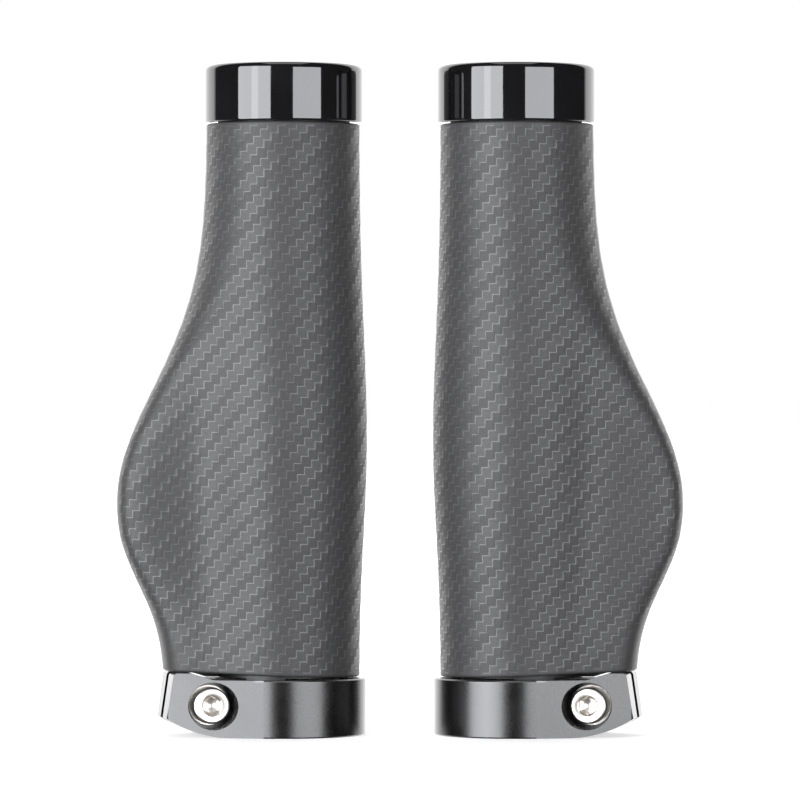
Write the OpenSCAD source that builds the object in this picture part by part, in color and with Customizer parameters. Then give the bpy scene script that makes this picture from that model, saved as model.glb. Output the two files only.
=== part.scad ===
// A pair of winged bicycle handlebar grips, standing upright on their clamps.
// Each grip is bored for the handlebar along Z. Z = 0 is the clamps' lower face.
// Left and right are mirror images about X = 0, and the wings point outwards.

/* [Handlebar] */
// Diameter of the handlebar that the grips fit
bar_d = 22.2; // [22:0.05:22.4]
// Radial room between the handlebar and the core sleeve
bar_room = 0.2; // [0.15:0.05:0.3]
// Radial room between the handlebar and the loose clamp
clamp_room = 0.02; // [0:0.01:0.04]

/* [Pair] */
// Distance between the two grips' axes
pair_pitch = 45.2; // [42:0.2:120]
// Height from the clamp's lower face to the end cap's top
grip_h = 130; // [126:1:150]

/* [Palm body] */
// Radius of the rubber where the hand closes round it, at its fullest
palm_r = 16.2; // [15.4:0.1:17]
// Radius of the rubber at its two ends
end_r = 14.7; // [14.2:0.1:15]
// Height of the fullest point of the palm body
palm_z = 57; // [50:1:64]

/* [Wing] */
// Reach of the wing's rim from the bar's axis, at its widest
wing_reach = 32.6; // [26:0.1:36]
// Height of the wing's widest point
wing_z = 44.6; // [40:0.2:50]
// Reach of the wing's foot, where it meets the clamp lug
foot_reach = 23.3; // [20:0.1:25]
// Thickness of the wing's blade
wing_t = 12; // [9:0.5:14]
// Turn of each wing, with its clamp lug, towards the front
wing_turn = 10.5; // [0:0.5:14]

/* [Core] */
// Wall thickness of the hard core sleeve
core_wall = 1.5; // [1.2:0.1:1.7]
// Thickness of the support plate inside the wing
plate_t = 3; // [2:0.5:4]

/* [Clamp] */
// Outer radius of the clamp ring
ring_r = 16; // [15:0.1:17]
// Height of the clamp ring
ring_h = 11.1; // [10.8:0.1:12]
// Reach of the lug from the bar's axis
lug_reach = 24; // [22.5:0.1:25]
// Width of the slit while the clamp is loose
slit_w = 3; // [2:0.1:3.6]

/* [Bolt] */
// Thread diameter of the clamp bolt
bolt_d = 4; // [4:0.1:4.1]
// Length of the clamp bolt under its head
bolt_l = 12; // [10:1:12]

/* [End cap] */
// Outer radius of the end cap
cap_r = 15.5; // [15:0.1:16.5]
// Height of the end cap
cap_h = 11.2; // [9:0.1:12]

/* [Hidden] */
$fn = 96;
eps = 0.01;

bore_r = bar_d / 2 + bar_room;
core_r = bore_r + core_wall;
clamp_r = bar_d / 2 + clamp_room;

// Heights of the joins
seam = 0.2;                      // dark gap between the cap and the rubber
cap_z = grip_h - cap_h;
rubber_top = cap_z - seam;
rubber_foot = ring_h + 0.75;
foot_slope = tan(1.9);           // the rubber's lower end rises towards the wing
neck_r = core_r + 0.5;
neck_z = ring_h + 0.3;
neck_h = 1;

// Rubber loft
rings = 46;                      // steps from foot to top
sides = 56;                      // points round a section
gather = 1.6;                    // crowds the points towards the wing's rim
blend = 2.8;                     // softness of the valley between body and wing
rim = 4;                         // squareness of the wing's rim
fullness = 3;                    // how much thicker the wing is where it runs out
end_round = 0.4;

// Core details
rib_w = 3;
rib_h = min(1, (end_r - core_r) / 2);
rib_z = [16, 112];
rib_turns = [-60, 0, 60];
plate_z = [20, 82];
web_reach = 18.6;                // the plate's foot, which closes the gap over the lug
web_room = 0.2;
plate_cover = 6.5;               // rubber between the plate's edge and the rim
plate_holes = [[18.5, 36], [18.5, 48], [17, 60]];
hole_r = 2.2;

// Tabs of the core in notches of the clamp
key_turns = [0, 105, 255];
key_arc = 34;
key_depth = 3.3;
key_room = 0.2;
key_r = neck_r - 0.15;

// Clamp lug
lug_top = ring_h + 1.25;
lug_front = 7.1;                 // front face of the lug's end, from the slit's middle
lug_rear = 5.6;
ramp_x = [15.4, 19.4];
end_lean = 1.3;
lug_corner = 0.8;                // rounding of the lug's end
corner_steps = 5;
belly_r = 22;                    // round of the lug's lower edge
belly_x = 12;
edge = 0.25;

// Bolt in the lug
bolt_x = 15.5;
bolt_z = 6.1;
pocket_r = 4.6;
seat_y = 4.6;                    // bolt seat, in front of the slit's middle
washer_t = 0.5;
washer_r = 4;
head_r = 3.5;
head_h = 4;
head_edge = 0.35;
socket_af = 3;
socket_depth = 2.2;
thread_pitch = 0.7;
thread_depth = 0.38;
shank_r = bolt_d / 2 - 0.04;
tapped_r = bolt_d / 2;
clear_r = bolt_d / 2 + 0.2;

// End cap
cap_fit = 0.05;
cap_in_r = core_r + cap_fit;
cap_top_t = 3;
cap_round = 1.1;
core_top = grip_h - cap_top_t - 0.2;
groove_r = 12.2;
groove_w = 0.6;
groove_d = 0.4;

// 1 at the peak, falling smoothly to 0 above and below it
function swell(z, peak, above, below, power) =
  z > peak ? exp(-pow((z - peak) / above, 2)) : exp(-pow((peak - z) / below, power));

function body_r(z) = end_r + (palm_r - end_r) * swell(z, palm_z, 30, 24, 2);

function reach(z) =
  let (far = z > wing_z ? end_r + 0.25 : foot_reach)
  far + (wing_reach - far) * swell(z, wing_z, 31, 19.7, 2.5);

function half_blade(z) =
  let (spread = (reach(z) - body_r(z)) / (wing_reach - body_r(wing_z)))
  wing_t / 2 + fullness * pow(1 - spread, 2);

// Radius of the section at height z, a degrees round from the wing's rim
function section_r(z, a) =
  let (
    r = body_r(z),
    tip = pow(pow(reach(z), blend) - pow(r, blend), 1 / blend),
    turn = min(max(abs(a), 0.01), 179.9),
    flank = half_blade(z) / 2 / tan(turn / 2),
    blade = pow(pow(flank, -rim) + pow(tip, -rim), -1 / rim)
  )
  pow(pow(r, blend) + pow(blade, blend), 1 / blend);

function ring_turn(j) =
  let (u = 2 * j / sides - 1)
  180 * sign(u) * pow(abs(u), gather);

// Steps 0 and 1, and the last two, make the rounded end edges
function ring_z(i) =
  i <= 1 ? rubber_foot + i * end_round
  : i >= rings - 1 ? rubber_top - (rings - i) * end_round
  : rubber_foot + end_round
    + (i - 1) / (rings - 2) * (rubber_top - rubber_foot - 2 * end_round);

function ring_points(i) =
  let (
    z = ring_z(i),
    inset = (i == 0 || i == rings) ? end_round : 0,
    slope = foot_slope * (rubber_top - z) / (rubber_top - rubber_foot)
  )
  [for (j = [0 : sides - 1])
    let (a = ring_turn(j), r = section_r(z, a) - inset, x = -r * cos(a + wing_turn))
    [x, -r * sin(a + wing_turn), z - slope * x]];

module rubber_loft() {
  points = [for (i = [0 : rings]) each ring_points(i)];
  walls = [for (i = [0 : rings - 1], j = [0 : sides - 1])
    let (k = (j + 1) % sides, low = i * sides, high = low + sides)
    each [[low + j, high + k, low + k], [low + j, high + j, high + k]]];
  foot = [for (j = [0 : sides - 1]) j];
  top = [for (j = [sides - 1 : -1 : 0]) rings * sides + j];
  polyhedron(points = points, faces = concat(walls, [foot, top]), convexity = 6);
}

// Lowest height of the plate's foot over the lug's ramp
function web_foot(x) =
  neck_z + (lug_top + web_room - neck_z) * (x - ramp_x[0]) / (ramp_x[1] - ramp_x[0]);

module wing_plate() {
  edge_points = [for (z = [plate_z[0] : 2 : plate_z[1]])
    [-max(core_r - 1, reach(z) - plate_cover), z]];
  root = bore_r + core_wall / 2;
  web = [
    [-root, plate_z[1]], [-root, neck_z], [-ramp_x[0], neck_z],
    [-web_reach, web_foot(web_reach)], [-web_reach, plate_z[0] - 4]
  ];
  rotate(wing_turn)
    difference() {
      rotate([90, 0, 0])
        linear_extrude(height = plate_t, center = true)
          polygon(concat(edge_points, web));
      for (hole = plate_holes)
        translate([-hole[0], 0, hole[1]])
          rotate([90, 0, 0])
            cylinder(r = hole_r, h = plate_t + 2, center = true);
    }
}

// Everything of the core that the rubber is moulded round
module core_outside() {
  translate([0, 0, neck_z]) cylinder(r = core_r, h = core_top - neck_z);
  translate([0, 0, neck_z]) cylinder(r = neck_r, h = neck_h);
  for (turn = rib_turns)
    rotate(turn)
      translate([core_r - 1, -rib_w / 2, rib_z[0]])
        cube([rib_h + 1, rib_w, rib_z[1] - rib_z[0]]);
  wing_plate();
}

module arc_block(turn, arc, r_in, r_out, z_low, z_high) {
  translate([0, 0, z_low])
    rotate(turn - arc / 2)
      rotate_extrude(angle = arc)
        translate([r_in, 0])
          square([r_out - r_in, z_high - z_low]);
}

module core_sleeve() {
  color("#1c1c1e")
    difference() {
      union() {
        core_outside();
        for (turn = key_turns)
          arc_block(turn, key_arc, bore_r - 1, key_r, ring_h - key_depth, neck_z + neck_h / 2);
      }
      cylinder(r = bore_r, h = grip_h);
    }
}

module grip_rubber() {
  color("#5f6062")
    difference() {
      rubber_loft();
      core_outside();
    }
}

// Corner of the lug's plan where its flat side leaves the ring as a tangent
function tangent_point(depth) =
  let (
    far = norm([lug_reach, depth]),
    turn = atan2(depth, lug_reach) + acos(ring_r / far)
  )
  [-ring_r * cos(turn), ring_r * sin(turn)];

function unit(v) = v / norm(v);

// Points round a corner of a polygon, from its side before to its side after
function rounded(before, corner, after) =
  let (
    u = unit(before - corner),
    v = unit(after - corner),
    half = acos(u * v) / 2,
    centre = corner + unit(u + v) * lug_corner / sin(half),
    start = corner + u * lug_corner / tan(half) - centre,
    end = corner + v * lug_corner / tan(half) - centre
  )
  [for (k = [0 : corner_steps])
    centre + lug_corner * unit(start + (end - start) * k / corner_steps)];

module lug_plan() {
  front = tangent_point(lug_front);
  rear = tangent_point(lug_rear);
  near = [front[0], -front[1]];
  near_end = [-lug_reach, -lug_front];
  far_end = [-lug_reach, lug_rear];
  polygon(concat(
    [[0, 0], near], rounded(near, near_end, far_end), rounded(near_end, far_end, rear), [rear]
  ));
}

module lug_side() {
  belly_end = belly_r - sqrt(pow(belly_r, 2) - pow(lug_reach - belly_x, 2));
  low_end = [-lug_reach, belly_end];
  top_end = [end_lean - lug_reach, lug_top];
  ramp_top = [-ramp_x[1], lug_top];
  intersection() {
    polygon(concat(
      [[0, 0], [-lug_reach, 0], low_end], rounded(low_end, top_end, ramp_top),
      [ramp_top, [-ramp_x[0], ring_h], [0, ring_h]]
    ));
    union() {
      translate([-belly_x, 0]) square([belly_x + 1, lug_top]);
      translate([-belly_x, belly_r]) circle(r = belly_r, $fn = 180);
    }
  }
}

module ring_blank() {
  rotate_extrude()
    polygon([
      [0, 0], [ring_r - edge, 0], [ring_r, edge],
      [ring_r, ring_h - edge], [ring_r - edge, ring_h], [0, ring_h]
    ]);
}

// Lays a module that is drawn along -Z through the lug, with z = 0 at the bolt seat
module at_seat() {
  translate([-bolt_x, -seat_y, bolt_z])
    rotate([90, 0, 0])
      children();
}

module clamp_collar() {
  color("#3c3d40")
    difference() {
      rotate(wing_turn)
        difference() {
          union() {
            ring_blank();
            intersection() {
              linear_extrude(height = lug_top) lug_plan();
              rotate([90, 0, 0]) linear_extrude(height = 3 * ring_r, center = true) lug_side();
            }
          }
          translate([-2 * ring_r, -slit_w / 2, -1]) cube([2 * ring_r, slit_w, lug_top + 2]);
          at_seat() {
            cylinder(r = pocket_r, h = ring_r);
            translate([0, 0, -seat_y]) cylinder(r = clear_r, h = seat_y + 1);
            translate([0, 0, -3 * ring_r]) cylinder(r = tapped_r, h = 3 * ring_r - seat_y);
          }
        }
      translate([0, 0, -1]) cylinder(r = clamp_r, h = lug_top + 2);
      for (turn = key_turns)
        arc_block(
          turn, key_arc + 2 * key_room / bore_r * 180 / PI, clamp_r - 1, key_r + key_room,
          ring_h - key_depth - key_room, ring_h + 1
        );
    }
}

module bolt_washer() {
  color("#d4d5d6")
    rotate(wing_turn)
      at_seat()
        difference() {
          cylinder(r = washer_r, h = washer_t);
          translate([0, 0, -1]) cylinder(r = clear_r, h = washer_t + 2);
        }
}

// Half section of the shank, with ring grooves in place of the helical thread
module shank_section() {
  grooves = floor((bolt_l - 3.2) / thread_pitch);
  tip = [[0, -bolt_l], [shank_r - 0.5, -bolt_l], [shank_r, 0.5 - bolt_l]];
  teeth = [for (i = [0 : grooves - 1])
    let (z = 0.8 - bolt_l + i * thread_pitch)
    each [
      [shank_r, z], [shank_r - thread_depth, z + 0.25 * thread_pitch],
      [shank_r - thread_depth, z + 0.4 * thread_pitch], [shank_r, z + 0.65 * thread_pitch]
    ]];
  polygon(concat(tip, teeth, [[shank_r, eps], [0, eps]]));
}

module clamp_bolt() {
  color("#e4e5e6")
    rotate(wing_turn)
      at_seat()
        translate([0, 0, washer_t])
          difference() {
            union() {
              rotate_extrude() shank_section();
              rotate_extrude()
                polygon([
                  [0, 0], [head_r, 0], [head_r, head_h - head_edge],
                  [head_r - head_edge, head_h], [0, head_h]
                ]);
            }
            translate([0, 0, head_h - socket_depth])
              cylinder(r = socket_af / 2 / cos(30), h = socket_depth + 1, $fn = 6);
            translate([0, 0, head_h - 0.35])
              cylinder(r1 = socket_af / 2, r2 = socket_af / 2 + 0.6, h = 0.6);
          }
}

module end_cap() {
  color("#0b0b0c")
    translate([0, 0, cap_z])
      rotate_extrude()
        difference() {
          union() {
            polygon([
              [0, 0], [cap_r - 0.3, 0], [cap_r, 0.3],
              [cap_r, cap_h - cap_round], [0, cap_h - cap_round]
            ]);
            square([cap_r - cap_round, cap_h]);
            translate([cap_r - cap_round, cap_h - cap_round]) circle(r = cap_round);
          }
          translate([0, -1]) square([cap_in_r, cap_h - cap_top_t + 1]);
          translate([groove_r, cap_h - groove_d]) square([groove_w, groove_d + 1]);
        }
}

module left() {
  translate([-pair_pitch / 2, 0, 0]) children();
}

module right() {
  mirror([1, 0, 0]) left() children();
}

left() clamp_collar();  // left_clamp_collar
left() bolt_washer();  // left_bolt_washer
left() clamp_bolt();  // left_clamp_bolt
left() core_sleeve();  // left_core_sleeve
left() grip_rubber();  // left_grip_rubber
left() end_cap();  // left_end_cap
right() clamp_collar();  // right_clamp_collar
right() bolt_washer();  // right_bolt_washer
right() clamp_bolt();  // right_clamp_bolt
right() core_sleeve();  // right_core_sleeve
right() grip_rubber();  // right_grip_rubber
right() end_cap();  // right_end_cap
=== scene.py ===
"""A pair of winged handlebar grips: twill-moulded rubber, satin clamps, bright bolts, gloss end caps.

Everything is in metres in the CAD frame. Each grip is first made in millimetres round its own bar
axis, as the left one, with its wing towards -X, and the right one is its mirror image.
"""

import math

import bpy
import numpy as np
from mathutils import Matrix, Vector


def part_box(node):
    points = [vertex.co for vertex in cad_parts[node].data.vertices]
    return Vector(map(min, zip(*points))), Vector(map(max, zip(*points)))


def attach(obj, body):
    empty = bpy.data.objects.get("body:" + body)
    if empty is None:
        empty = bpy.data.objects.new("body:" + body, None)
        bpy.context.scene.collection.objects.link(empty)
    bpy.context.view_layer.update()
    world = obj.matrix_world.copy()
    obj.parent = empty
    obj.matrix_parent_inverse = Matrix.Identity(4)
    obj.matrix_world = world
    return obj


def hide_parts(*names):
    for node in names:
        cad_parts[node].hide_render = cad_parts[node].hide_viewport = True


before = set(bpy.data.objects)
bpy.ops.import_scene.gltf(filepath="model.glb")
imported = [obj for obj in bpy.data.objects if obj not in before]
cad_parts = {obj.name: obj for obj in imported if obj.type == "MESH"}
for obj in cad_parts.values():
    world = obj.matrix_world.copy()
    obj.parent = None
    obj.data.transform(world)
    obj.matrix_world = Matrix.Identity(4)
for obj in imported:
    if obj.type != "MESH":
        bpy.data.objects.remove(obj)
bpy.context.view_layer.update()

MM = 0.001
SIDES = {"left": 1, "right": -1}

# Sizes that the frame gives, in mm
CAP_LOW, CAP_HIGH = (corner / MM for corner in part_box("left_end_cap"))
RUBBER_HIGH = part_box("left_grip_rubber")[1] / MM
AXIS_X = (CAP_LOW.x + CAP_HIGH.x) / 2
CAP_R = (CAP_HIGH.x - CAP_LOW.x) / 2
CAP_H = CAP_HIGH.z - CAP_LOW.z
RUBBER_TOP = RUBBER_HIGH.z

# Clamp ring and core sleeve under the rubber
RING_TOP, RING_R = 11.1, 16.0
CORE_R = 12.8

# Rubber body, as in the CAD loft
RUBBER_FOOT = 11.85
PALM_R, PALM_Z, END_R = 16.2, 57.0, 14.7
PALM_ABOVE, PALM_BELOW, PALM_POWER = 30, 24, 2
WING_REACH, WING_Z, FOOT_REACH = 32.6, 44.6, 23.3
WING_ABOVE, WING_BELOW, WING_POWER = 31, 19.7, 2.5
WING_END = END_R + 0.25           # where the wing has run out, towards the cap
WING_TURN = math.radians(10.5)    # turn of the wing and its clamp lug towards the front
HALF_WING, FULLNESS = 6.0, 3.0
BLEND, RIM = 2.8, 4.0
FOOT_SLOPE = math.tan(math.radians(1.9))
END_ROUND = 0.4

# Twill relief: a stair of steps that climbs to the viewer's right, and the next stair half a step over
STEP_U, STEP_V = 1.40, 1.41
RIDGE = 0.16                      # width of the line between two bands
RELIEF = 0.10                     # depth from the threads' crowns to their edges
DIVE = 0.5                        # length over which a warp float dives under at its ends
WEFT_DIVE = 0.4                   # the same for a weft float, as a share of half a step
WARP_EDGE, WARP_ARCH = 0.55, 1.8  # height of a float's edge, and how it arches to its middle
WEFT_EDGE, WEFT_ARCH = 0.45, 1.6
RIM_GAP = 0.06                    # nothing of the lattice comes nearer to the rim or inner side

# Distances over which the relief fades out
RIM_PLAIN, RIM_FULL = 0.5, 2.2
SIDE_FULL, END_FULL = 0.5, 0.7
CORNER_PLAIN, CORNER_FULL, CORNER_RATIO = 4, 11, 0.7


# ---------------------------------------------------------------- rubber surface

def swell(z, peak, above, below, power):
    """1 at the peak, falling smoothly to 0 above and below it."""
    over = np.exp(-(((z - peak) / above) ** 2))
    under = np.exp(-((np.abs(peak - z) / below) ** power))
    return np.where(z > peak, over, under)


def body_r(z):
    return END_R + (PALM_R - END_R) * swell(z, PALM_Z, PALM_ABOVE, PALM_BELOW, PALM_POWER)


def reach(z):
    far = np.where(z > WING_Z, WING_END, FOOT_REACH)
    return far + (WING_REACH - far) * swell(z, WING_Z, WING_ABOVE, WING_BELOW, WING_POWER)


def section_r(z, a):
    """Radius at height z, a radians round from the wing's rim."""
    r = body_r(z)
    tip = (reach(z) ** BLEND - r ** BLEND) ** (1 / BLEND)
    spread = (reach(z) - r) / (WING_REACH - body_r(np.array(WING_Z)))
    half_blade = HALF_WING + FULLNESS * (1 - spread) ** 2
    turn = np.clip(np.abs(a), 2e-4, math.pi - 2e-3)
    flank = half_blade / 2 / np.tan(turn / 2)
    blade = (flank ** -RIM + tip ** -RIM) ** (-1 / RIM)
    return (r ** BLEND + blade ** BLEND) ** (1 / BLEND)


def surface(z, a, inset=0.0):
    """Points of the surface, inset towards the axis."""
    r = section_r(z, a) - inset
    x, y = -r * np.cos(a + WING_TURN), -r * np.sin(a + WING_TURN)
    slope = FOOT_SLOPE * (RUBBER_TOP - z) / (RUBBER_TOP - RUBBER_FOOT)
    return np.stack(np.broadcast_arrays(x, y, z - slope * x), -1)


def outward(z, a):
    """Unit normals of the surface."""
    d = 1e-3                      # a small step, in mm and in radians
    along = surface(z, a + d) - surface(z, a - d)
    up = surface(z + d, a) - surface(z - d, a)
    n = np.cross(along, up)
    n /= np.linalg.norm(n, axis=-1, keepdims=True)
    return n


def smooth(x, low, high):
    """0 up to low, 1 from high on, with a soft rise between."""
    t = np.clip((x - low) / (high - low), 0, 1)
    return t * t * (3 - 2 * t)


def band_of(u, v):
    """Number of the twill band at (u, v): the lowest n whose stair lies under the point."""
    i = np.floor(2 * u / STEP_U).astype(int)
    j = np.floor(2 * v / STEP_V).astype(int)
    guess = (i - j) // 4
    band = guess + 3
    for n in (guess + 2, guess + 1, guess, guess - 1, guess - 2):
        band = np.where(2 * ((i - n) // 2) - 3 * n <= j, n, band)
    return band


def stair_height(n, i):
    """Height of stair n over the half step i."""
    return (2 * ((i - n) // 2) - 3 * n) * STEP_V / 2


def relief(u, v):
    """(height from 0 to 1, band number) of the twill at (u, v)."""
    n = band_of(u, v)
    i = np.floor(2 * u / STEP_U).astype(int)
    low, high = stair_height(n, i), stair_height(n - 1, i)
    # a warp float is arched across u and dives at its lower and upper end
    across = np.mod(u / STEP_U - n / 2, 1)
    ends = smooth(np.minimum(v - low, high - v), 0, DIVE)
    warp = (WARP_EDGE + WARP_ARCH * across * (1 - across)) * (0.6 + 0.4 * ends)
    # a weft float is arched across v, and dives at its two ends along u
    rise = np.mod(v / STEP_V + 3 * n / 2, 1)
    side = np.mod(2 * u / STEP_U, 1)
    dive = smooth(np.minimum(side, 1 - side), 0, WEFT_DIVE)
    weft = (WEFT_EDGE + WEFT_ARCH * rise * (1 - rise)) * (0.75 + 0.25 * dive)
    return np.where(n % 2 == 0, warp, weft), n


def double_lines(step, low, high):
    """A pair of lines RIDGE apart at each multiple of step between low and high."""
    m = np.arange(math.ceil(low / step), math.floor(high / step) + 1) * step
    return np.stack([m - RIDGE / 2, m + RIDGE / 2], 1).ravel()


def rubber_rows():
    """Heights of the rows of points, and each row's inset, which rounds the two end edges."""
    low, high = RUBBER_FOOT + END_ROUND, RUBBER_TOP - END_ROUND
    lines = double_lines(STEP_V / 2, low + RIDGE, high - RIDGE)
    turn = np.radians([90, 60, 30])
    inset = np.concatenate([END_ROUND * (1 - np.cos(turn)), np.zeros(len(lines) + 2),
                            END_ROUND * (1 - np.cos(turn[::-1]))])
    z = np.concatenate([low - END_ROUND * np.sin(turn), [low], lines, [high],
                        high + END_ROUND * np.sin(turn[::-1])])
    return z, inset


QUARTER = 720                     # steps of the arc-length table in a quarter turn
INSIDE_PLACE = (20, 60, 20)       # weave coordinates of the hidden inner wall


def rubber_arrays(rim_first):
    """Vertices in mm, faces, and per-vertex and per-face values of one grip's rubber.
    rim_first: on the front the viewer's left is the wing's rim, as on the left grip."""
    z, inset = rubber_rows()
    count = len(z)
    table_a = np.linspace(0, math.pi, 2 * QUARTER + 1)
    table = surface(z[:, None], table_a[None, :])
    step = np.linalg.norm(np.diff(table, axis=1), axis=2)
    arc = np.concatenate([np.zeros((count, 1)), np.cumsum(step, 1)], 1)
    middle, total = arc[:, QUARTER], arc[:, -1]

    index = []
    # s runs from the rim, y is 1 at the front and -1 at the back, and u runs across the twill
    verts = {"row": [], "s": [], "y": [], "u": []}

    def add(row, s, y, u):
        for key, value in zip(("row", "s", "y", "u"), (row, s, y, u)):
            verts[key].append(value)
        return len(verts["s"]) - 1

    rim = [add(i, 0.0, 1, 0.0) for i in range(count)]
    side = [add(i, total[i], 1, 0.0) for i in range(count)]
    widest = float(total.max())
    lattice = double_lines(STEP_U / 2, -widest, widest)
    for y in (1, -1):
        from_rim = rim_first if y == 1 else not rim_first
        ids = np.zeros((count, len(lattice) + 2), int)
        for i in range(count):
            s = middle[i] + lattice if from_rim else middle[i] - lattice
            inside = (s > RIM_GAP) & (s < total[i] - RIM_GAP)
            first, last = (rim[i], side[i]) if from_rim else (side[i], rim[i])
            start = int(np.argmax(inside))
            stop = start + int(inside.sum())
            ids[i, :start + 1] = first
            ids[i, stop + 1:] = last
            base = len(verts["s"])
            ids[i, start + 1:stop + 1] = np.arange(base, base + stop - start)
            verts["row"].extend([i] * (stop - start))
            verts["s"].extend(s[start:stop])
            verts["y"].extend([y] * (stop - start))
            verts["u"].extend(lattice[start:stop])
        index.append(ids)

    row = np.array(verts["row"])
    s = np.array(verts["s"])
    y = np.array(verts["y"])
    u = np.array(verts["u"])
    height = z[row]
    angle = np.zeros(len(s))
    for i in range(count):
        mine = np.flatnonzero(row == i)
        angle[mine] = np.interp(s[mine], arc[i], table_a)
    to_side = total[row] - s
    points = surface(height, angle * y, inset[row])
    normals = outward(height, angle * y)

    level, band = relief(u, height)
    fade = smooth(s, RIM_PLAIN, RIM_FULL) * smooth(to_side, 0.0, SIDE_FULL)
    low_plain, high_plain = RUBBER_FOOT + END_ROUND, -RUBBER_TOP + END_ROUND
    fade *= smooth(height, low_plain, low_plain + END_FULL)
    fade *= smooth(-height, high_plain, high_plain + END_FULL)
    corner = np.hypot(s, CORNER_RATIO * (height - RUBBER_FOOT))
    fade *= smooth(corner, CORNER_PLAIN, CORNER_FULL)
    points = points + normals * ((level - 1) * RELIEF * fade)[:, None]

    # two lattice points that fell together leave a triangle, or no face at all
    faces, ridge_highlight = [], []
    for ids in index:
        a, b = ids[:-1, :-1].ravel(), ids[:-1, 1:].ravel()
        d, c = ids[1:, :-1].ravel(), ids[1:, 1:].ravel()
        bottom, top = a == b, c == d
        full = ~bottom & ~top
        quad = np.stack([a, b, c, d], 1)[full]
        faces.extend(quad.tolist())
        faces.extend(np.stack([a, c, d], 1)[bottom & ~top].tolist())
        faces.extend(np.stack([a, b, c], 1)[top & ~bottom].tolist())
    # faces on the lines between two bands get a value that paints them lighter, a painted highlight
    for f in faces:
        n = band[f]
        ridge_highlight.append(float(fade[f].mean()) if n.min() != n.max() else 0.0)

    # end rings and the inner wall against the core close the shape
    loops = [np.concatenate([index[0][i, :-1], index[1][i, :-1]]) for i in (0, count - 1)]
    inner = []
    base = len(points)
    extra = []
    for loop in loops:
        flat = points[loop][:, :2]
        wall = flat / np.linalg.norm(flat, axis=1, keepdims=True) * CORE_R
        extra.append(np.column_stack([wall, points[loop][:, 2]]))
        inner.append(np.arange(base, base + len(loop)))
        base += len(loop)
    points = np.concatenate([points, *extra])
    shut = []
    size = len(loops[0])
    for k in range(size):
        m = (k + 1) % size
        shut.append([loops[0][m], loops[0][k], inner[0][k], inner[0][m]])
        shut.append([loops[1][k], loops[1][m], inner[1][m], inner[1][k]])
        shut.append([inner[0][m], inner[0][k], inner[1][k], inner[1][m]])
    pad = len(points) - len(s)
    place = np.zeros((len(points), 3))
    place[:len(s)] = np.column_stack([s, height, to_side])
    place[len(s):] = INSIDE_PLACE
    warp = np.concatenate([0.5 + (0.5 - band % 2) * fade, np.full(pad, 0.5)])
    return points, faces, ridge_highlight, shut, place, warp


def merge(points):
    """Indices of the distinct points, and for every point its number among them."""
    _, first, same = np.unique(
        np.round(points, 6), axis=0, return_index=True, return_inverse=True)
    return first, same.ravel()


def new_piece(name, points_mm, faces, side_name, smooth_count=None):
    """A mesh object from points in mm round the left grip's axis, mirrored for the right side.
    Its first smooth_count faces are shaded smooth, or all of them."""
    sign = SIDES[side_name]
    world = (np.asarray(points_mm, float) * [sign, 1, 1] + [sign * AXIS_X, 0, 0]) * MM
    mesh = bpy.data.meshes.new(f"{side_name}_{name}")
    mesh.from_pydata(world.tolist(), [], faces)
    count = len(faces) if smooth_count is None else smooth_count
    mesh.polygons.foreach_set("use_smooth", [True] * count + [False] * (len(faces) - count))
    piece = bpy.data.objects.new(mesh.name, mesh)
    bpy.context.scene.collection.objects.link(piece)
    return piece


def build_rubber(side_name):
    points, faces, ridge_highlight, shut, place, warp = rubber_arrays(SIDES[side_name] == 1)
    # points that fell together in the closing rings are merged, and unused ones dropped
    first, same = merge(points)
    every = [same[f].tolist() for f in faces]
    for f in shut:
        ring = list(dict.fromkeys(same[f].tolist()))
        if len(ring) > 2:
            every.append(ring)
    piece = new_piece("rubber_skin", points[first], every, side_name, smooth_count=len(faces))
    # the first value paints a highlight on the lines between the twill's bands
    values = (
        ("ridge_highlight", "FLOAT", "FACE", np.array(ridge_highlight + [0.0] * (len(every) - len(faces)))),
        ("warp", "FLOAT", "POINT", warp[first]),
        ("weave_mm", "FLOAT_VECTOR", "POINT", place[first]),
    )
    for name, kind, domain, data in values:
        attribute = piece.data.attributes.new(name, kind, domain)
        key = "vector" if kind == "FLOAT_VECTOR" else "value"
        attribute.data.foreach_set(key, data.astype(np.float32).ravel())
    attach(piece, f"{side_name}_grip")
    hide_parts(f"{side_name}_grip_rubber")
    return piece


# ---------------------------------------------------------------- turned pieces

def ring_stack(name, rings, side_name, closed=False):
    """A skin over rings of points, each a list of equal length from the first end to the last.
    A ring of one repeated point makes a closed end; closed joins the last ring to the first."""
    rings = [np.asarray(r, float) for r in rings]
    size, count = len(rings[0]), len(rings)
    points = np.concatenate(rings)
    first, same = merge(points)
    faces = []
    for i in range(count if closed else count - 1):
        low, high = i * size, (i + 1) % count * size
        for k in range(size):
            m = (k + 1) % size
            corners = same[[low + k, low + m, high + m, high + k]]
            ring = list(dict.fromkeys(corners.tolist()))
            if len(ring) > 2:
                faces.append(ring)
    if SIDES[side_name] < 0:
        faces = [ring[::-1] for ring in faces]
    return new_piece(name, points[first], faces, side_name)


def turned(profile, size):
    """Rings round +Z from a profile of (radius, height), which runs anticlockwise
    seen with the axis on the left."""
    a = np.arange(size) * 2 * math.pi / size
    return [np.column_stack([r * np.cos(a), r * np.sin(a), np.full(size, h)]) for r, h in profile]


def fillet(centre, radius, start, end, steps):
    """Points of an arc, degrees from the +r axis."""
    turns = np.radians(np.linspace(start, end, steps + 1))
    return [(centre[0] + radius * math.cos(t), centre[1] + radius * math.sin(t)) for t in turns]


CAP_IN_R, CAP_TOP_T, CAP_ROUND = 12.85, 3.0, 1.1
CAP_FOOT_ROUND, CAVITY_ROUND = 0.35, 0.5
GROOVE_R, GROOVE_W, GROOVE_D, GROOVE_ROUND = 12.2, 0.6, 0.4, 0.15
CAP_SIDES = 160


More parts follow.
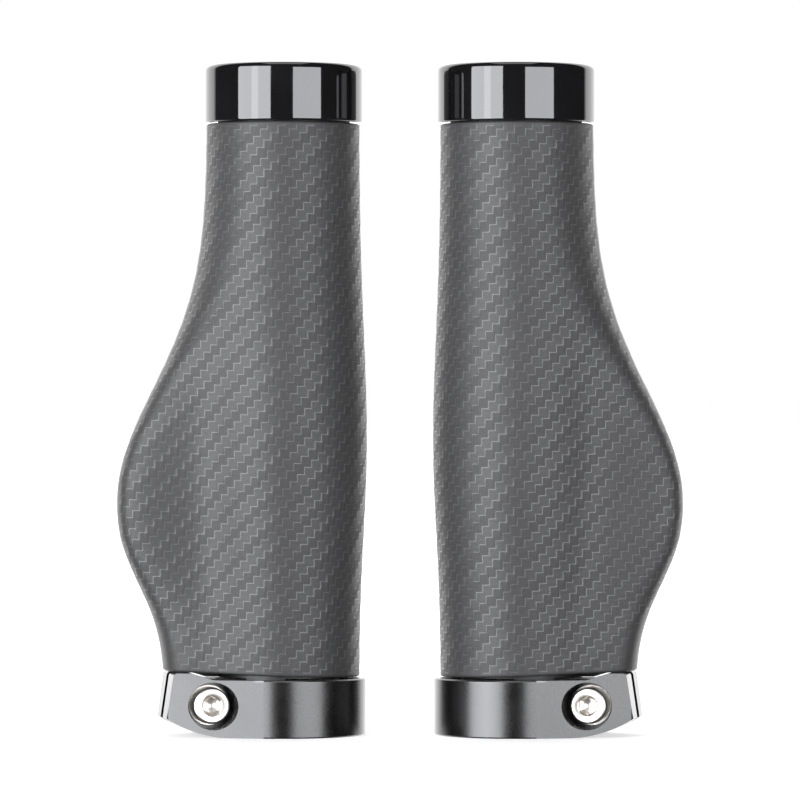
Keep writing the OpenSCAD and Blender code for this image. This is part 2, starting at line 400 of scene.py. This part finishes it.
def build_cap(side_name):
    h, cavity = CAP_H, CAP_H - CAP_TOP_T
    foot, lip = CAP_FOOT_ROUND, GROOVE_ROUND
    inside = CAP_IN_R - CAVITY_ROUND
    groove_out = GROOVE_R + GROOVE_W
    profile = [
        (0, cavity), (inside - 0.1, cavity),
        *fillet((inside, cavity - CAVITY_ROUND), CAVITY_ROUND, 90, 0, 4),
        (CAP_IN_R, 2), (CAP_IN_R, 0.3), (CAP_IN_R + 0.1, 0.08), (CAP_IN_R + 0.3, 0),
        (CAP_R - foot - 0.2, 0), *fillet((CAP_R - foot, foot), foot, -90, 0, 5),
        (CAP_R, 0.8), (CAP_R, 3), (CAP_R, 8), (CAP_R, h - CAP_ROUND - 0.3),
        *fillet((CAP_R - CAP_ROUND, h - CAP_ROUND), CAP_ROUND, 0, 90, 10),
        (groove_out + lip + 0.2, h), *fillet((groove_out + lip, h - lip), lip, 90, 180, 3),
        (groove_out, h - GROOVE_D), (GROOVE_R, h - GROOVE_D),
        *fillet((GROOVE_R - lip, h - lip), lip, 0, 90, 3), (GROOVE_R - 0.4, h), (4, h), (0, h),
    ]
    rings = turned([(r, z + CAP_LOW.z) for r, z in profile], CAP_SIDES)
    piece = ring_stack("cap_shell", rings, side_name)
    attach(piece, f"{side_name}_cap")
    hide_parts(f"{side_name}_end_cap")
    return piece


# Bolt and washer in the lug, drawn along +w out of the seat, as in the CAD
BOLT_X, BOLT_Z, SEAT_Y = 15.5, 6.1, 4.6
WASHER_T, WASHER_R, CLEAR_R = 0.5, 4.0, 2.2
HEAD_R, HEAD_H, HEAD_EDGE = 3.5, 4.0, 0.45
SOCKET_AF, SOCKET_DEPTH, SOCKET_MOUTH = 3.0, 2.2, 1.95
BOLT_L, SHANK_R, THREAD_PITCH, THREAD_DEPTH = 12.0, 1.96, 0.7, 0.38
THREAD_START, THREAD_END = 0.35, 2.4    # from the bolt's tip, and from the head's seat
TIP_CHAMFER, NECK_ROUND, SOCKET_BEVEL = 0.25, 0.15, 0.42
BOLT_SIDES, WASHER_SIDES, WASHER_EDGE = 96, 72, 0.1


def at_seat(rings):
    """Turns rings drawn round +Z so that +Z points out of the lug, with zero at the bolt's seat."""
    c, s = math.cos(WING_TURN), math.sin(WING_TURN)
    placed = []
    for ring in rings:
        x = -BOLT_X + ring[:, 0]
        y = -SEAT_Y - ring[:, 2]
        placed.append(np.column_stack([x * c - y * s, x * s + y * c, BOLT_Z + ring[:, 1]]))
    return placed


def hexagon(size, across_flats):
    """Distance of a hexagon's edge in each of size directions."""
    a = np.arange(size) * 2 * math.pi / size
    sector = math.pi / 3
    return across_flats / 2 / np.cos(np.mod(a + sector / 2, sector) - sector / 2)


def build_bolt(side_name):
    size = BOLT_SIDES
    a = np.arange(size) * 2 * math.pi / size
    unit = np.column_stack([np.cos(a), np.sin(a)])
    # the mirrored bolt keeps its right-hand thread
    lead = SIDES[side_name] * THREAD_PITCH / (2 * math.pi)

    def ring(radius, h):
        radius = np.broadcast_to(radius, (size,))
        return np.column_stack([unit * radius[:, None], np.broadcast_to(h, (size,))])

    base, top, tip = WASHER_T, WASHER_T + HEAD_H, WASHER_T - BOLT_L
    rings = [ring(0, tip), ring(SHANK_R - 2 * TIP_CHAMFER, tip),
             ring(SHANK_R - TIP_CHAMFER, tip + TIP_CHAMFER)]
    # a real helical thread, which runs out below the head
    plain = base - THREAD_END
    for h in np.arange(tip + THREAD_START, plain, THREAD_PITCH / 8):
        phase = np.mod((h - lead * a) / THREAD_PITCH, 1)
        tooth = np.clip(2.4 * np.abs(phase - 0.5) - 0.1, 0, 1)
        run_out = smooth(h, tip + 0.2, tip + 1.2) * smooth(-h, -plain, -plain + 1)
        rings.append(ring(SHANK_R - THREAD_DEPTH * (1 - tooth) * run_out, h))
    neck, crown = NECK_ROUND, HEAD_R - HEAD_EDGE
    rings += [ring(SHANK_R, plain), ring(SHANK_R, base - neck), ring(SHANK_R + neck, base),
              ring(HEAD_R - neck - 0.05, base)]
    rings += [ring(r, h) for r, h in fillet((HEAD_R - neck, base + neck), neck, -90, 0, 3)]
    rings += [ring(HEAD_R, base + 0.5), ring(HEAD_R, top - HEAD_EDGE - 0.3)]
    rings += [ring(r, h) for r, h in fillet((crown, top - HEAD_EDGE), HEAD_EDGE, 0, 90, 6)]
    rings += [ring(crown - 0.15, top), ring(SOCKET_MOUTH + 0.12, top),
              ring(SOCKET_MOUTH, top - 0.05)]
    # the hexagon socket, with a drilled point at its floor
    hexed, floor = hexagon(size, SOCKET_AF), top - SOCKET_DEPTH
    rings += [ring(hexed + 0.02, top - SOCKET_BEVEL), ring(hexed, top - SOCKET_BEVEL - 0.08),
              ring(hexed, top - 1.3), ring(hexed, floor + 0.05), ring(hexed - 0.05, floor),
              ring(1.25, floor - 0.02), ring(0.6, floor - 0.3), ring(0, floor - 0.42)]
    piece = ring_stack("bolt", at_seat(rings), side_name)
    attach(piece, f"{side_name}_bolt")
    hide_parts(f"{side_name}_clamp_bolt")
    return piece


def build_washer(side_name):
    r, t, e = WASHER_R, WASHER_T, WASHER_EDGE
    profile = [(CLEAR_R, e), (CLEAR_R, t - e), (CLEAR_R + e, t), (r - 2 * e, t),
               *fillet((r - e, t - e), e, 90, 0, 3), *fillet((r - e, e), e, 0, -90, 3),
               (CLEAR_R + e, 0)]
    rings = at_seat(turned(profile[::-1], WASHER_SIDES))
    piece = ring_stack("washer", rings, side_name, closed=True)
    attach(piece, f"{side_name}_washer")
    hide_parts(f"{side_name}_bolt_washer")
    return piece


def soften(node, width):
    """Bevels a CAD node's edges, width in mm, without touching its mesh."""
    weld = node.modifiers.new("weld", "WELD")
    weld.merge_threshold = 2e-6
    flat = node.modifiers.new("flat", "DECIMATE")
    flat.decimate_type = "DISSOLVE"
    flat.angle_limit = math.radians(0.5)
    bevel = node.modifiers.new("bevel", "BEVEL")
    bevel.limit_method = "ANGLE"
    bevel.angle_limit = math.radians(30)
    bevel.width = width * MM
    bevel.segments = 3
    bevel.use_clamp_overlap = True
    bevel.harden_normals = False
    weighted = node.modifiers.new("weighted", "WEIGHTED_NORMAL")
    weighted.keep_sharp = True
    weighted.weight = 90


# ---------------------------------------------------------------- materials

class Tree:
    """A material's node tree, with a short way to add a node and link its inputs."""

    def __init__(self, name):
        self.material = bpy.data.materials.new(name)
        self.material.use_nodes = True
        self.nodes = self.material.node_tree.nodes
        self.links = self.material.node_tree.links
        self.nodes.clear()
        self.output = self.nodes.new("ShaderNodeOutputMaterial")

    def add(self, kind, inputs=None, **settings):
        node = self.nodes.new("ShaderNode" + kind)
        for key, value in settings.items():
            setattr(node, key, value)
        for key, value in (inputs or {}).items():
            socket = node.inputs[key]
            if isinstance(value, bpy.types.NodeSocket):
                self.links.new(value, socket)
            else:
                socket.default_value = value
        return node

    def math(self, operation, *values, clamp=False):
        return self.add("Math", dict(enumerate(values)), operation=operation, use_clamp=clamp).outputs[0]

    def noise(self, vector, scale, detail=3.0, rough=0.5):
        inputs = {"Vector": vector, "Scale": scale, "Detail": detail, "Roughness": rough}
        return self.add("TexNoise", inputs).outputs["Fac"]

    def span(self, value, low, high, out_low=0.0, out_high=1.0):
        inputs = {0: value, 1: low, 2: high, 3: out_low, 4: out_high}
        return self.add("MapRange", inputs).outputs[0]

    def mix(self, factor, a, b):
        node = self.add("Mix", data_type="RGBA")
        for socket, value in ((node.inputs[0], factor), (node.inputs[6], a), (node.inputs[7], b)):
            if isinstance(value, bpy.types.NodeSocket):
                self.links.new(value, socket)
            else:
                socket.default_value = value
        return node.outputs[2]

    def bump(self, height, distance, strength=1.0, normal=None):
        inputs = {"Height": height, "Distance": distance, "Strength": strength}
        if normal is not None:
            inputs["Normal"] = normal
        return self.add("Bump", inputs).outputs[0]

    def scaled(self, vector, scale):
        return self.add("Mapping", {"Vector": vector, "Scale": scale}).outputs[0]

    def finish(self, **inputs):
        shader = self.add("BsdfPrincipled", {k.replace("_", " "): v for k, v in inputs.items()})
        self.links.new(shader.outputs[0], self.output.inputs["Surface"])
        return self.material


def grey(value, blue=1.0):
    return (value, value, value * blue, 1)


def rubber_material():
    t = Tree("moulded_rubber")
    place = t.add("Attribute", attribute_name="weave_mm").outputs["Vector"]
    warp = t.add("Attribute", attribute_name="warp").outputs["Fac"]
    ridge_highlight = t.add("Attribute", attribute_name="ridge_highlight").outputs["Fac"]
    coordinate = t.add("TexCoord").outputs["Object"]
    axes = t.add("SeparateXYZ", {0: place}).outputs
    # fibres run up the warp floats and across the weft floats
    upright = t.noise(t.scaled(place, (5.0, 0.5, 0)), 1.0, 2.0)
    level = t.noise(t.scaled(place, (0.5, 5.0, 0)), 1.0, 2.0)
    fibre = t.add("Mix", {0: warp, 2: level, 3: upright}, data_type="FLOAT").outputs[0]
    grain = t.noise(coordinate, 3800, 2.0, 0.6)
    cloud = t.noise(coordinate, 45, 3.0)
    # a fine flash line stands where the mould's halves met; its lighter colour is a painted highlight
    flash_and_highlight = t.math("MAXIMUM", t.span(axes[0], 0.1, 0.22, 1, 0), t.span(axes[2], 0.08, 0.2, 0.6, 0))
    light = t.math("MAXIMUM", ridge_highlight, flash_and_highlight)
    shade = t.math("ADD", t.span(cloud, 0.3, 0.7, -0.12, 0.12), t.span(fibre, 0.25, 0.75, -0.15, 0.15))
    shade = t.math("ADD", shade, t.span(grain, 0.3, 0.7, -0.3, 0.3))
    shade = t.math("ADD", shade, t.span(warp, 0, 1, 0.05, -0.05))
    tone = t.mix(t.math("ADD", shade, 0.5, clamp=True), grey(0.028), grey(0.048))
    # painted highlight: the flash line and the lines between bands are mixed to a lighter grey
    tone = t.mix(light, tone, grey(0.078))
    rough = t.math("ADD", t.span(warp, 0, 1, 0.475, 0.54), t.span(grain, 0.3, 0.7, -0.06, 0.06))
    rough = t.math("SUBTRACT", rough, t.math("MULTIPLY", light, 0.22))
    normal = t.bump(grain, 0.00003, 0.5)
    normal = t.bump(fibre, 0.00003, 0.7, normal)
    normal = t.bump(flash_and_highlight, 0.00006, 0.6, normal)
    return t.finish(Base_Color=tone, Roughness=rough, Normal=normal, IOR=1.42)


def cap_material():
    t = Tree("gloss_black")
    coordinate = t.add("TexCoord").outputs["Object"]
    haze = t.noise(coordinate, 70, 3.0)
    scratches = t.noise(t.scaled(coordinate, (300, 300, 5200)), 1.0, 3.0, 0.7)
    orange_peel = t.noise(coordinate, 420, 2.0)
    tone = t.mix(t.span(haze, 0.3, 0.7), grey(0.003), grey(0.006, 1.15))
    rough = t.math("ADD", t.span(haze, 0.3, 0.7, 0.03, 0.07), t.span(scratches, 0.6, 0.8, 0, 0.05))
    normal = t.bump(orange_peel, 0.000012, 0.25)
    normal = t.bump(scratches, 0.000003, 0.15, normal)
    return t.finish(Base_Color=tone, Roughness=rough, Normal=normal, IOR=1.62)


def collar_material():
    t = Tree("satin_anodised")
    coordinate = t.add("TexCoord").outputs["Object"]
    axes = t.add("SeparateXYZ", {0: coordinate}).outputs
    turning = t.noise(t.scaled(coordinate, (60, 60, 9000)), 1.0, 3.0, 0.6)
    blasted = t.noise(coordinate, 7000, 2.0, 0.6)
    haze = t.noise(coordinate, 90, 3.0)
    # a lighter band along the ring's upper edge, broken up by noise, is a painted highlight
    across = t.math("ADD", t.math("ABSOLUTE", axes[0]), AXIS_X * MM)
    across_2, along_2 = (t.math("MULTIPLY", v, v) for v in (across, axes[1]))
    radius = t.math("SQRT", t.math("ADD", across_2, along_2))
    on_ring = t.span(radius, (RING_R + 0.05) * MM, (RING_R + 0.15) * MM, 1, 0)
    upper = t.span(axes[2], (RING_TOP - 0.4) * MM, (RING_TOP - 0.1) * MM, 0, 1)
    edge = t.math("MULTIPLY", on_ring, upper)
    painted_edge_highlight = t.math("MULTIPLY", edge, t.span(haze, 0.35, 0.6, 0.3, 1))
    tone = t.mix(t.span(haze, 0.3, 0.7), grey(0.054), grey(0.065))
    tone = t.mix(painted_edge_highlight, tone, grey(0.13))
    rough = t.math("ADD", t.span(haze, 0.3, 0.7, 0.24, 0.30), t.span(blasted, 0.3, 0.7, -0.03, 0.03))
    normal = t.bump(blasted, 0.000012, 0.35)
    normal = t.bump(turning, 0.000004, 0.4, normal)
    return t.finish(Base_Color=tone, Metallic=1.0, Roughness=rough, Normal=normal)


def steel_material():
    t = Tree("bright_stainless")
    coordinate = t.add("TexCoord").outputs["Object"]
    brushed = t.noise(t.scaled(coordinate, (2200, 700, 9000)), 1.0, 3.0, 0.6)
    stain = t.noise(coordinate, 260, 3.0)
    tone = t.mix(t.span(stain, 0.35, 0.7), (0.88, 0.84, 0.78, 1), (0.74, 0.70, 0.65, 1))
    rough = t.math("ADD", t.span(stain, 0.3, 0.7, 0.30, 0.38), t.span(brushed, 0.3, 0.7, -0.03, 0.05))
    normal = t.bump(brushed, 0.00001, 0.3)
    return t.finish(Base_Color=tone, Metallic=1.0, Roughness=rough, Normal=normal)


def core_material():
    t = Tree("moulded_core")
    coordinate = t.add("TexCoord").outputs["Object"]
    spark = t.noise(coordinate, 2600, 3.0, 0.6)
    flow = t.noise(t.scaled(coordinate, (90, 90, 18)), 1.0, 3.0)
    tone = t.mix(t.span(flow, 0.3, 0.7), grey(0.012), grey(0.022))
    rough = t.math("ADD", t.span(flow, 0.3, 0.7, 0.42, 0.55), t.span(spark, 0.3, 0.7, -0.05, 0.05))
    normal = t.bump(spark, 0.00003, 0.5)
    return t.finish(Base_Color=tone, Roughness=rough, Normal=normal, IOR=1.5)


def paint(piece, material):
    piece.data.materials.clear()
    piece.data.materials.append(material)


COLLAR_BEVEL, CORE_BEVEL = 0.2, 0.1
RUBBER, CAP, COLLAR = rubber_material(), cap_material(), collar_material()
STEEL, CORE = steel_material(), core_material()
for side_name in SIDES:
    paint(build_rubber(side_name), RUBBER)
    paint(build_cap(side_name), CAP)
    paint(build_bolt(side_name), STEEL)
    paint(build_washer(side_name), STEEL)
    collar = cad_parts[f"{side_name}_clamp_collar"]
    soften(collar, COLLAR_BEVEL)
    paint(collar, COLLAR)
    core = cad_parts[f"{side_name}_core_sleeve"]
    soften(core, CORE_BEVEL)
    paint(core, CORE)


# ---------------------------------------------------------------- studio

def aim(obj, place, target):
    obj.location = place
    obj.rotation_mode = "QUATERNION"
    obj.rotation_quaternion = (Vector(target) - Vector(place)).to_track_quat("-Z", "Y")


MIDDLE = Vector((0, 0, 0.065))
COOL = (0.985, 1.0, 1.035)        # the softboxes' slightly cool white
TOP_SIDE, TOP_RADIANCE, TOP_PLACE = 0.5, 2.0, (0, -0.1, 0.95)


def softbox(name, low, high, radiance, height, distance=0.95):
    """A tall light that fills the azimuths low to high, in degrees from the camera's side."""
    middle, half = math.radians((low + high) / 2), math.radians((high - low) / 2)
    light = bpy.data.lights.new(name, "AREA")
    light.shape = "RECTANGLE"
    light.size, light.size_y = 2 * distance * math.tan(half), height
    light.energy = radiance * math.pi * light.size * light.size_y
    light.color = COOL
    lamp = bpy.data.objects.new(name, light)
    bpy.context.scene.collection.objects.link(lamp)
    away = Vector((math.sin(middle), -math.cos(middle), 0)) * distance
    aim(lamp, MIDDLE + away, MIDDLE)


softbox("left_softbox", -68, -19, 8.8, 1.0)
softbox("left_tube", -47, -37, 2.2, 1.0, distance=0.94)
softbox("right_softbox", 13, 55, 7.2, 0.42)

top = bpy.data.lights.new("top_softbox", "AREA")
top.shape = "RECTANGLE"
top.size, top.size_y = TOP_SIDE, TOP_SIDE
top.energy = TOP_RADIANCE * math.pi * top.size * top.size_y
top_lamp = bpy.data.objects.new("top_softbox", top)
bpy.context.scene.collection.objects.link(top_lamp)
aim(top_lamp, TOP_PLACE, MIDDLE)

# The room: dark round the front, a lit white wall behind, and plain white where the camera looks past
WALL_EDGE, WALL_FULL = 0.42, 0.52       # y of the directions between which the wall begins
ROOM_LIGHT, WALL_LIGHT = 0.05, 2.4
world = bpy.data.worlds.new("studio")
bpy.context.scene.world = world
world.use_nodes = True
links, nodes = world.node_tree.links, world.node_tree.nodes
nodes.clear()
direction = nodes.new("ShaderNodeTexCoord")
axes = nodes.new("ShaderNodeSeparateXYZ")
links.new(direction.outputs["Generated"], axes.inputs[0])
wall = nodes.new("ShaderNodeMapRange")
wall.inputs[1].default_value, wall.inputs[2].default_value = WALL_EDGE, WALL_FULL
wall.inputs[3].default_value, wall.inputs[4].default_value = ROOM_LIGHT, WALL_LIGHT
links.new(axes.outputs[1], wall.inputs[0])
room = nodes.new("ShaderNodeBackground")
links.new(wall.outputs[0], room.inputs["Strength"])
room.inputs["Color"].default_value = (1, 1, 1, 1)
white = nodes.new("ShaderNodeBackground")
white.inputs["Color"].default_value = (1, 1, 1, 1)
path = nodes.new("ShaderNodeLightPath")
choose = nodes.new("ShaderNodeMixShader")
links.new(path.outputs["Is Camera Ray"], choose.inputs[0])
links.new(room.outputs[0], choose.inputs[1])
links.new(white.outputs[0], choose.inputs[2])
output = nodes.new("ShaderNodeOutputWorld")
links.new(choose.outputs[0], output.inputs["Surface"])


FLOOR_R, FLOOR_SIDES = 12.0, 64


def build_floor():
    """A pale floor that runs out into white."""
    radius, sides = FLOOR_R, FLOOR_SIDES
    turns = np.arange(sides) * 2 * math.pi / sides
    points = [(radius * math.cos(a), radius * math.sin(a), 0) for a in turns]
    mesh = bpy.data.meshes.new("floor")
    mesh.from_pydata(points, [], [tuple(range(sides))])
    floor = bpy.data.objects.new("floor", mesh)
    bpy.context.scene.collection.objects.link(floor)
    t = Tree("pale_floor")
    place = t.add("TexCoord").outputs["Object"]
    tone = t.mix(t.noise(place, 9, 3.0), grey(0.50), grey(0.53))
    away = t.add("VectorMath", {0: place}, operation="LENGTH").outputs["Value"]
    glow = t.span(away, 0.1, 0.5, 0.62, 1.05)
    white_glow = {"Emission_Color": grey(1.0), "Emission_Strength": glow}
    paint(floor, t.finish(Base_Color=tone, Roughness=0.9, **white_glow))
    floor.visible_glossy = False


build_floor()

# Camera: level, in front, at the photograph's scale
DISTANCE, FOCAL_PX, FRAME_PX, SENSOR = 1.1, 5654, 800, 36
camera = bpy.data.cameras.new("camera")
camera.sensor_width = SENSOR
camera.lens = SENSOR * FOCAL_PX / FRAME_PX
camera_object = bpy.data.objects.new("camera", camera)
bpy.context.scene.collection.objects.link(camera_object)
aim(camera_object, MIDDLE - Vector((0, DISTANCE, 0)), MIDDLE)
bpy.context.scene.camera = camera_object
bpy.context.scene.view_settings.view_transform = "Standard"
